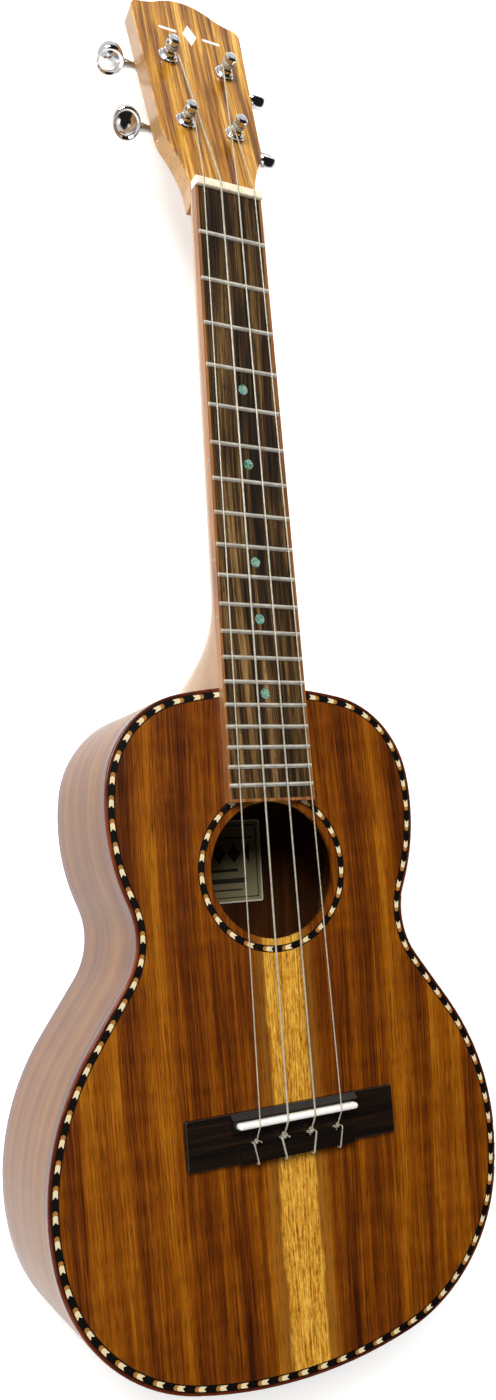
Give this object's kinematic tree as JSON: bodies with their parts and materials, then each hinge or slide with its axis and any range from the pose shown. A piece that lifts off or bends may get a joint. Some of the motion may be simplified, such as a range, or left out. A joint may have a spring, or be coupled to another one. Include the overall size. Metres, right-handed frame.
{
  "type": "tenor ukulele",
  "caption": "Figure-eight acoustic body with a round soundhole, rope-patterned edge inlay, fretted neck, tied bridge, nylon strings and geared tuners that wind them.",
  "frame": {"origin": "on the back's flat outer face, on the centre line, half way along the body", "axes": "+X towards the treble side, +Y towards the headstock, +Z out of the soundboard; the instrument lies on its back"},
  "size_m": [0.2328, 0.6818, 0.0857],
  "materials": {
    "acacia_top": "high gloss lacquer over orange-brown acacia with a pale sapwood stripe",
    "acacia_back": "high gloss lacquer over orange-brown acacia",
    "acacia_side": "high gloss lacquer over orange-brown acacia",
    "rosewood_binding": "gloss lacquer over red-brown rosewood",
    "rope_purfling": "gloss lacquer over pale and black inlaid woods",
    "mahogany_block": "plain sanded mahogany",
    "mahogany_lining": "plain sanded mahogany, kerfed",
    "spruce_brace": "plain sanded spruce",
    "maple_plate": "plain sanded maple",
    "maple_dowel": "plain sanded maple",
    "label_paper": "matt printed paper",
    "mahogany_neck": "satin lacquer over light mahogany",
    "rosewood_cap": "gloss lacquer over rosewood",
    "acacia_veneer": "high gloss lacquer over acacia veneer",
    "pearl_inlay": "polished mother-of-pearl",
    "pearl_dots": "polished mother-of-pearl",
    "rosewood_board": "oiled dark rosewood",
    "nickel_silver": "polished nickel silver",
    "bone_nut": "polished bone",
    "bone_saddle": "polished bone",
    "dark_rosewood": "satin near-black rosewood",
    "chrome_bushing": "polished chrome",
    "chrome_plate": "polished chrome",
    "chrome_screw": "polished chrome",
    "nylon_string": "clear grey fluorocarbon or nylon",
    "chrome_post": "polished chrome",
    "brass_gear": "plain cut brass",
    "steel_worm": "nickel-plated steel",
    "chrome_button": "polished chrome"
  },
  "bodies": {
    "instrument": {"a_string": "nylon_string", "back_bass": "acacia_back", "back_binding": "rosewood_binding", "back_braces": "spruce_brace", "back_lining": "mahogany_lining", "back_strip": "spruce_brace", "back_treble": "acacia_back", "bridge": "dark_rosewood", "bridge_plate": "maple_plate", "c_string": "nylon_string", "e_string": "nylon_string", "end_graft": "rosewood_binding", "fan_braces": "spruce_brace", "fingerboard": "rosewood_board", "fingerboard_binding": "rosewood_binding", "frets": "nickel_silver", "g_string": "nylon_string", "headstock_inlay": "pearl_inlay", "headstock_veneer": "acacia_veneer", "heel_cap": "rosewood_cap", "label": "label_paper", "neck": "mahogany_neck", "neck_block": "mahogany_block", "neck_dowels": "maple_dowel", "nut": "bone_nut", "position_markers": "pearl_dots", "rosette": "rope_purfling", "saddle": "bone_saddle", "side_bass": "acacia_side", "side_treble": "acacia_side", "soundboard_bass": "acacia_top", "soundboard_braces": "spruce_brace", "soundboard_treble": "acacia_top", "tail_block": "mahogany_block", "top_binding": "rosewood_binding", "top_lining": "mahogany_lining", "top_purfling": "rope_purfling", "tuner_bushings": "chrome_bushing", "tuner_plates": "chrome_plate", "tuner_screws": "chrome_screw"},
    "g_knob": {"g_worm": "steel_worm", "g_button": "chrome_button"},
    "g_capstan": {"g_post": "chrome_post", "g_gear": "brass_gear", "g_winding": "nylon_string"},
    "c_knob": {"c_worm": "steel_worm", "c_button": "chrome_button"},
    "c_capstan": {"c_post": "chrome_post", "c_gear": "brass_gear", "c_winding": "nylon_string"},
    "e_knob": {"e_worm": "steel_worm", "e_button": "chrome_button"},
    "e_capstan": {"e_post": "chrome_post", "e_gear": "brass_gear", "e_winding": "nylon_string"},
    "a_knob": {"a_worm": "steel_worm", "a_button": "chrome_button"},
    "a_capstan": {"a_post": "chrome_post", "a_gear": "brass_gear", "a_winding": "nylon_string"}
  },
  "joints": [
    {"name": "g_knob_turn", "type": "hinge", "parent": "instrument", "child": "g_knob", "pos_m": [-0.0133, 0.44315, 0.03324], "axis": [1, 0, 0], "continuous": true},
    {"name": "g_post_turn", "type": "hinge", "parent": "instrument", "child": "g_capstan", "pos_m": [-0.0133, 0.43973, 0.05007], "axis": [0, 0.2806, 0.9598], "continuous": true},
    {"name": "c_knob_turn", "type": "hinge", "parent": "instrument", "child": "c_knob", "pos_m": [-0.0155, 0.48279, 0.02165], "axis": [1, 0, 0], "continuous": true},
    {"name": "c_post_turn", "type": "hinge", "parent": "instrument", "child": "c_capstan", "pos_m": [-0.0155, 0.47937, 0.03848], "axis": [0, 0.2806, 0.9598], "continuous": true},
    {"name": "e_knob_turn", "type": "hinge", "parent": "instrument", "child": "e_knob", "pos_m": [0.0155, 0.48279, 0.02165], "axis": [-1, 0, 0], "continuous": true},
    {"name": "e_post_turn", "type": "hinge", "parent": "instrument", "child": "e_capstan", "pos_m": [0.0155, 0.47937, 0.03848], "axis": [0, -0.2806, -0.9598], "continuous": true},
    {"name": "a_knob_turn", "type": "hinge", "parent": "instrument", "child": "a_knob", "pos_m": [0.0133, 0.44315, 0.03324], "axis": [-1, 0, 0], "continuous": true},
    {"name": "a_post_turn", "type": "hinge", "parent": "instrument", "child": "a_capstan", "pos_m": [0.0133, 0.43973, 0.05007], "axis": [0, -0.2806, -0.9598], "continuous": true}
  ],
  "couplings": [
    {"joint": "g_post_turn", "follows": "g_knob_turn", "ratio": 0.071429},
    {"joint": "c_post_turn", "follows": "c_knob_turn", "ratio": 0.071429},
    {"joint": "e_post_turn", "follows": "e_knob_turn", "ratio": 0.071429},
    {"joint": "a_post_turn", "follows": "a_knob_turn", "ratio": 0.071429}
  ]
}
